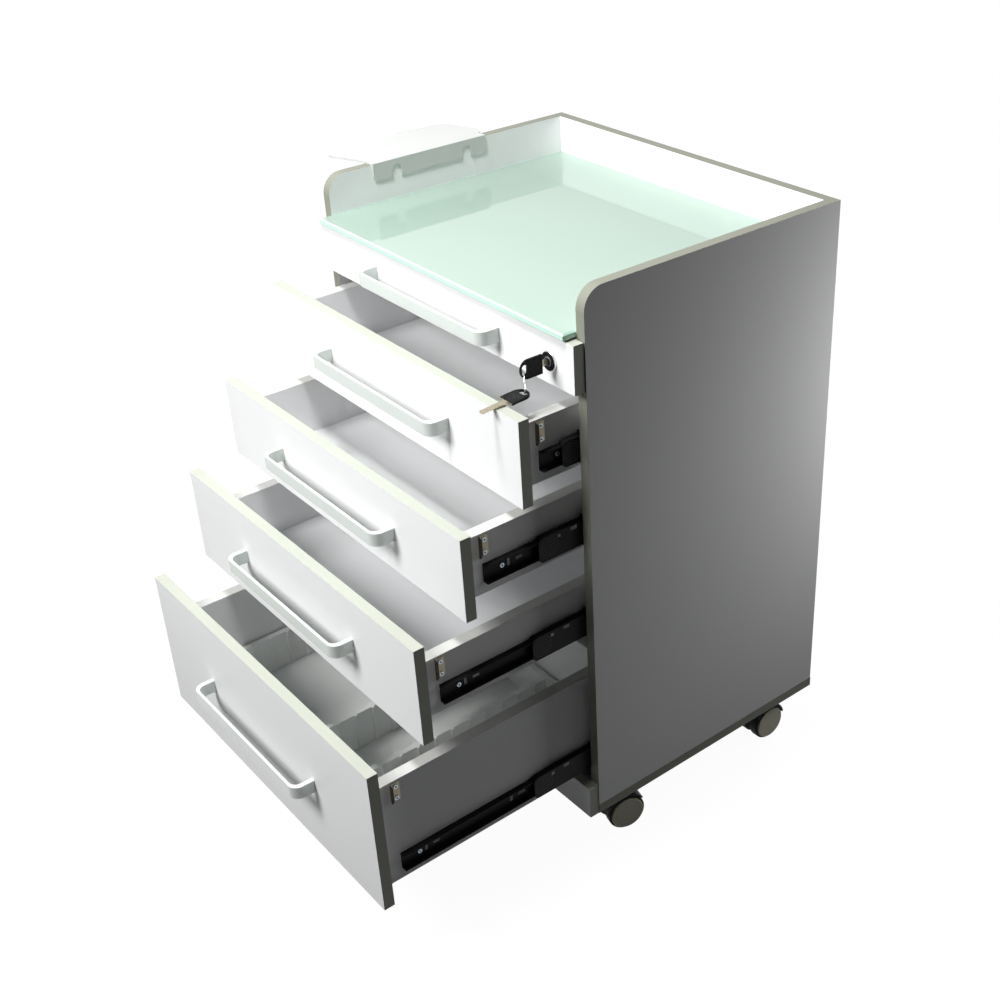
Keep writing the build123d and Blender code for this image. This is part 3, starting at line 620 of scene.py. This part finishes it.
def camera():
    az, el, roll = (math.radians(a) for a in (AZIMUTH, ELEVATION, ROLL))
    flat = math.cos(el)
    ahead = Vector((-math.sin(az) * flat, math.cos(az) * flat, -math.sin(el)))
    level = ahead.cross(Vector((0, 0, 1))).normalized()
    upright = level.cross(ahead)
    right = math.cos(roll) * level + math.sin(roll) * upright
    up = right.cross(ahead)
    data = bpy.data.cameras.new("camera")
    data.sensor_width = FILM
    data.lens = FOCAL
    data.shift_x, data.shift_y = SHIFT
    data.clip_start = 0.01
    eye = bpy.data.objects.new("camera", data)
    rotation = Matrix((right, up, -ahead)).transposed()
    eye.matrix_world = Matrix.Translation(EYE) @ rotation.to_4x4()
    bpy.context.scene.collection.objects.link(eye)
    bpy.context.scene.camera = eye


# ---------------------------------------------------------------- light and floor
AMBIENT = 0.010             # the world's light on the object
FLOOR_GREY = 0.05           # dark, so that it throws little light back up
FLOOR_GLOW = 0.96           # how white the camera sees it
FLOOR_REACH = 12.0          # m to each side

# name, place, target, side in m, watts, whether gloss mirrors it
LAMPS = (
    ("key", (-0.4, -1.65, 1.87), (0.05, -0.2, 0.45), 0.8, 43.5, True),
    ("overhead", (0.13, -0.42, 2.3), (0.1, -0.2, 0.5), 0.32, 29, True),
    ("side_back", (0.55, 0.86, 0.66), (0.3, 0.3, 0.6), 0.25, 2.15, False),
    ("fill_left", (-1.7, 0.2, 1.3), (-0.3, 0.1, 0.5), 0.8, 14, False),
    ("fill_back", (-0.2, 2.2, 1.4), (0.0, 0.4, 0.5), 0.8, 14, False),
)


def softbox(name, place, target, size, watts, mirrored):
    data = bpy.data.lights.new(name, "AREA")
    data.shape = "SQUARE"
    data.size = size
    data.energy = watts
    lamp = bpy.data.objects.new(name, data)
    lamp.visible_camera = False
    lamp.visible_glossy = mirrored
    lamp.location = place
    aim = Vector(target) - Vector(place)
    lamp.rotation_euler = aim.to_track_quat("-Z", "Y").to_euler()
    bpy.context.scene.collection.objects.link(lamp)


def seen_white(tree):
    """1 for rays that show the background: camera, glossy and transmission rays."""
    path = tree.nodes.new("ShaderNodeLightPath")
    total = path.outputs["Is Camera Ray"]
    for name in ("Is Glossy Ray", "Is Transmission Ray"):
        add = tree.nodes.new("ShaderNodeMath")
        add.operation = "MAXIMUM"
        tree.links.new(total, add.inputs[0])
        tree.links.new(path.outputs[name], add.inputs[1])
        total = add.outputs[0]
    return total


def world():
    """A white background that lights the object only a little."""
    data = bpy.data.worlds.new("studio")
    data.use_nodes = True
    bpy.context.scene.world = data
    tree = data.node_tree
    background = tree.nodes["Background"]
    shade = tree.nodes.new("ShaderNodeMix")
    shade.data_type = "RGBA"
    tree.links.new(seen_white(tree), shade.inputs[0])
    shade.inputs[6].default_value = (AMBIENT, AMBIENT, AMBIENT * 1.02, 1.0)
    shade.inputs[7].default_value = (1.0, 1.0, 1.0, 1.0)
    tree.links.new(shade.outputs[2], background.inputs["Color"])


def floor():
    """A wide white floor that keeps only a soft shadow for the camera."""
    mesh = bpy.data.meshes.new("floor")
    signs = ((-1, -1), (1, -1), (1, 1), (-1, 1))
    corners = [(x * FLOOR_REACH, y * FLOOR_REACH, 0) for x, y in signs]
    mesh.from_pydata(corners, [], [(0, 1, 2, 3)])
    plane = bpy.data.objects.new("floor", mesh)
    bpy.context.scene.collection.objects.link(plane)
    material = bpy.data.materials.new("floor_white")
    material.use_nodes = True
    tree = material.node_tree
    shader = tree.nodes["Principled BSDF"]
    shader.inputs["Base Color"].default_value = (*[FLOOR_GREY] * 3, 1.0)
    shader.inputs["Roughness"].default_value = 0.9
    shader.inputs["Emission Color"].default_value = (1.0, 1.0, 1.0, 1.0)
    glow = tree.nodes.new("ShaderNodeMath")
    glow.operation = "MULTIPLY"
    glow.inputs[1].default_value = FLOOR_GLOW
    tree.links.new(seen_white(tree), glow.inputs[0])
    tree.links.new(glow.outputs[0], shader.inputs["Emission Strength"])
    mesh.materials.append(material)
    plane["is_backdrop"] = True


camera()
world()
floor()
for lamp in LAMPS:
    softbox(*lamp)

bpy.context.scene.view_settings.view_transform = "Standard"

low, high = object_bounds()
